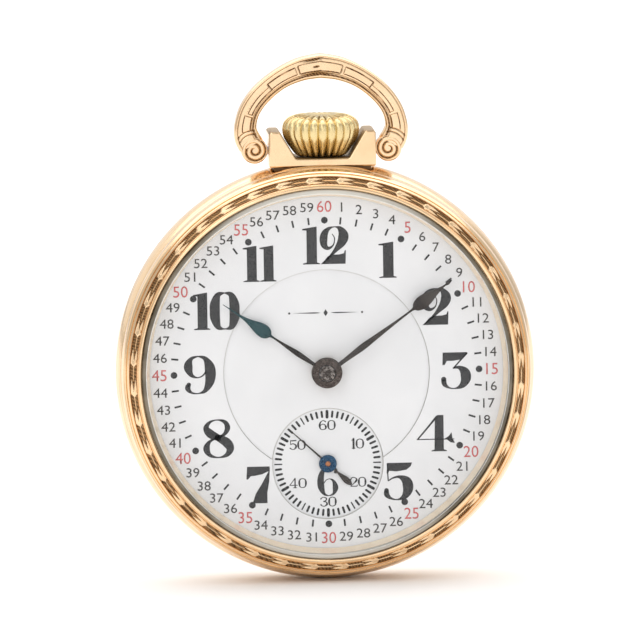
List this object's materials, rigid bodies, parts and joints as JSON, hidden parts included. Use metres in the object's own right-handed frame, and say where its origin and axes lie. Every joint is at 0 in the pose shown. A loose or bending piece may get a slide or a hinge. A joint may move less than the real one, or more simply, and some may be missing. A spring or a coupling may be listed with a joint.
{
  "type": "pocket watch",
  "caption": "Open face pocket watch in a screw case, with a swinging bow, fluted crown, sub seconds dial and a complete winding and going movement.",
  "frame": {"origin": "centre of the flat of the back cover, on the axis of the hands", "axes": "+Z from the dial centre to the pendant, -Y out of the dial, +X to the right of somebody reading the dial; +Y is the outward normal of the back cover's flat"},
  "size_m": [0.05, 0.014, 0.0627],
  "materials": {
    "case_gold": "polished yellow gold-filled",
    "crown_gold": "polished pale gold, fluted",
    "bow_gold": "engraved rose gold-filled",
    "crystal_glass": "clear polished glass",
    "dial_enamel": "white vitreous enamel with dark numerals",
    "hand_blue": "blued steel",
    "bridge_nickel": "damaskeened nickel",
    "movement_steel": "polished steel",
    "screw_blue": "blued steel screw heads",
    "train_gold": "gilt brass wheels",
    "barrel_brass": "gilt brass, circular grain",
    "jewel_ruby": "red jewel in a gold setting"
  },
  "bodies": {
    "case": {"case_center": "case_gold", "pendant": "case_gold", "pendant_sleeve": "movement_steel", "bow_screw_left": "movement_steel", "bow_screw_right": "movement_steel", "dial_ring": "dial_enamel", "dial_center": "dial_enamel", "dial_seconds": "dial_enamel", "pillar_plate": "bridge_nickel", "barrel_bridge": "bridge_nickel", "train_bridge": "bridge_nickel", "balance_cock": "bridge_nickel", "pallet_bridge": "bridge_nickel", "barrel_bridge_screw_1": "screw_blue", "barrel_bridge_screw_2": "screw_blue", "train_bridge_screw_1": "screw_blue", "train_bridge_screw_2": "screw_blue", "cock_screw": "screw_blue", "balance_jewel": "jewel_ruby", "center_jewel": "jewel_ruby", "third_jewel": "jewel_ruby", "fourth_jewel": "jewel_ruby", "escape_jewel": "jewel_ruby", "setting_lever": "movement_steel"},
    "front_bezel": {"bezel": "case_gold", "crystal": "crystal_glass"},
    "back": {"back_cover": "case_gold"},
    "bow": {"bow": "bow_gold"},
    "winding_crown": {"crown": "crown_gold", "winding_stem": "movement_steel", "winding_pinion": "movement_steel", "clutch_wheel": "movement_steel"},
    "crown_wheel": {"crown_wheel": "movement_steel"},
    "ratchet": {"ratchet_wheel": "movement_steel", "barrel_arbor": "movement_steel"},
    "barrel": {"mainspring_barrel": "barrel_brass", "mainspring": "movement_steel"},
    "center": {"center_wheel": "train_gold", "center_pinion": "movement_steel", "cannon_pinion": "movement_steel", "minute_hand": "hand_blue"},
    "third": {"third_wheel": "train_gold", "third_pinion": "movement_steel"},
    "fourth": {"fourth_wheel": "train_gold", "fourth_pinion": "movement_steel", "seconds_hand": "hand_blue"},
    "escape": {"escape_wheel": "movement_steel", "escape_pinion": "movement_steel"},
    "pallet": {"pallet_fork": "movement_steel"},
    "balance": {"balance_wheel": "train_gold", "balance_staff": "movement_steel", "roller": "movement_steel", "hairspring": "hand_blue"},
    "minute_work": {"minute_wheel": "barrel_brass"},
    "hour_work": {"hour_wheel": "barrel_brass", "hour_hand": "hand_blue"},
    "click": {"click": "movement_steel"},
    "regulator": {"regulator": "movement_steel"}
  },
  "joints": [
    {"name": "bezel_off", "type": "slide", "parent": "case", "child": "front_bezel", "axis": [0, -1, 0], "range_m": [0, 0.014]},
    {"name": "back_off", "type": "slide", "parent": "case", "child": "back", "axis": [0, 1, 0], "range_m": [0, 0.012]},
    {"name": "bow_swing", "type": "hinge", "parent": "case", "child": "bow", "pos_m": [0, -0.0058, 0.0263], "axis": [1, 0, 0], "range_deg": [-85, 85]},
    {"name": "crown_turn", "type": "hinge", "parent": "case", "child": "winding_crown", "pos_m": [0, -0.0058, 0.0279], "axis": [0, 0, 1], "continuous": true},
    {"name": "crown_wheel_turn", "type": "hinge", "parent": "case", "child": "crown_wheel", "pos_m": [0, 0, 0.0126], "axis": [0, 1, 0], "continuous": true},
    {"name": "ratchet_turn", "type": "hinge", "parent": "case", "child": "ratchet", "pos_m": [0.0088, 0, 0.0062], "axis": [0, 1, 0], "continuous": true},
    {"name": "seconds_turn", "type": "hinge", "parent": "case", "child": "fourth", "pos_m": [0, 0, -0.011], "axis": [0, 1, 0], "continuous": true},
    {"name": "barrel_turn", "type": "hinge", "parent": "case", "child": "barrel", "pos_m": [0.0088, 0, 0.0062], "axis": [0, 1, 0], "continuous": true},
    {"name": "minute_turn", "type": "hinge", "parent": "case", "child": "center", "pos_m": [0, 0, 0], "axis": [0, 1, 0], "continuous": true},
    {"name": "third_turn", "type": "hinge", "parent": "case", "child": "third", "pos_m": [0.0038, 0, -0.00623], "axis": [0, 1, 0], "continuous": true},
    {"name": "escape_turn", "type": "hinge", "parent": "case", "child": "escape", "pos_m": [-0.00452, 0, -0.01327], "axis": [0, 1, 0], "continuous": true},
    {"name": "minute_wheel_turn", "type": "hinge", "parent": "case", "child": "minute_work", "pos_m": [-0.00396, 0, 0.00396], "axis": [0, 1, 0], "continuous": true},
    {"name": "hour_turn", "type": "hinge", "parent": "case", "child": "hour_work", "pos_m": [0, 0, 0], "axis": [0, 1, 0], "continuous": true},
    {"name": "pallet_rock", "type": "hinge", "parent": "case", "child": "pallet", "pos_m": [-0.00669, 0, -0.01052], "axis": [0, 1, 0], "range_deg": [-5, 5]},
    {"name": "balance_swing", "type": "hinge", "parent": "case", "child": "balance", "pos_m": [-0.0098, 0, -0.0066], "axis": [0, 1, 0], "range_deg": [-270, 270], "stiffness_Nm_per_rad": 0.0000012},
    {"name": "click_rock", "type": "hinge", "parent": "case", "child": "click", "pos_m": [-0.0019, 0, 0.0072], "axis": [0, 1, 0], "range_deg": [0, 12], "stiffness_Nm_per_rad": 0.00004},
    {"name": "regulator_turn", "type": "hinge", "parent": "case", "child": "regulator", "pos_m": [-0.0098, 0, -0.0066], "axis": [0, 1, 0], "range_deg": [-22, 22]}
  ],
  "couplings": [
    {"joint": "crown_wheel_turn", "follows": "crown_turn", "ratio": -0.6},
    {"joint": "ratchet_turn", "follows": "crown_turn", "ratio": 0.33333},
    {"joint": "third_turn", "follows": "seconds_turn", "ratio": -0.13333},
    {"joint": "minute_turn", "follows": "seconds_turn", "ratio": 0.016667},
    {"joint": "barrel_turn", "follows": "seconds_turn", "ratio": -0.0020833},
    {"joint": "escape_turn", "follows": "seconds_turn", "ratio": -10},
    {"joint": "minute_wheel_turn", "follows": "seconds_turn", "ratio": -0.0055556},
    {"joint": "hour_turn", "follows": "seconds_turn", "ratio": 0.0013889}
  ]
}
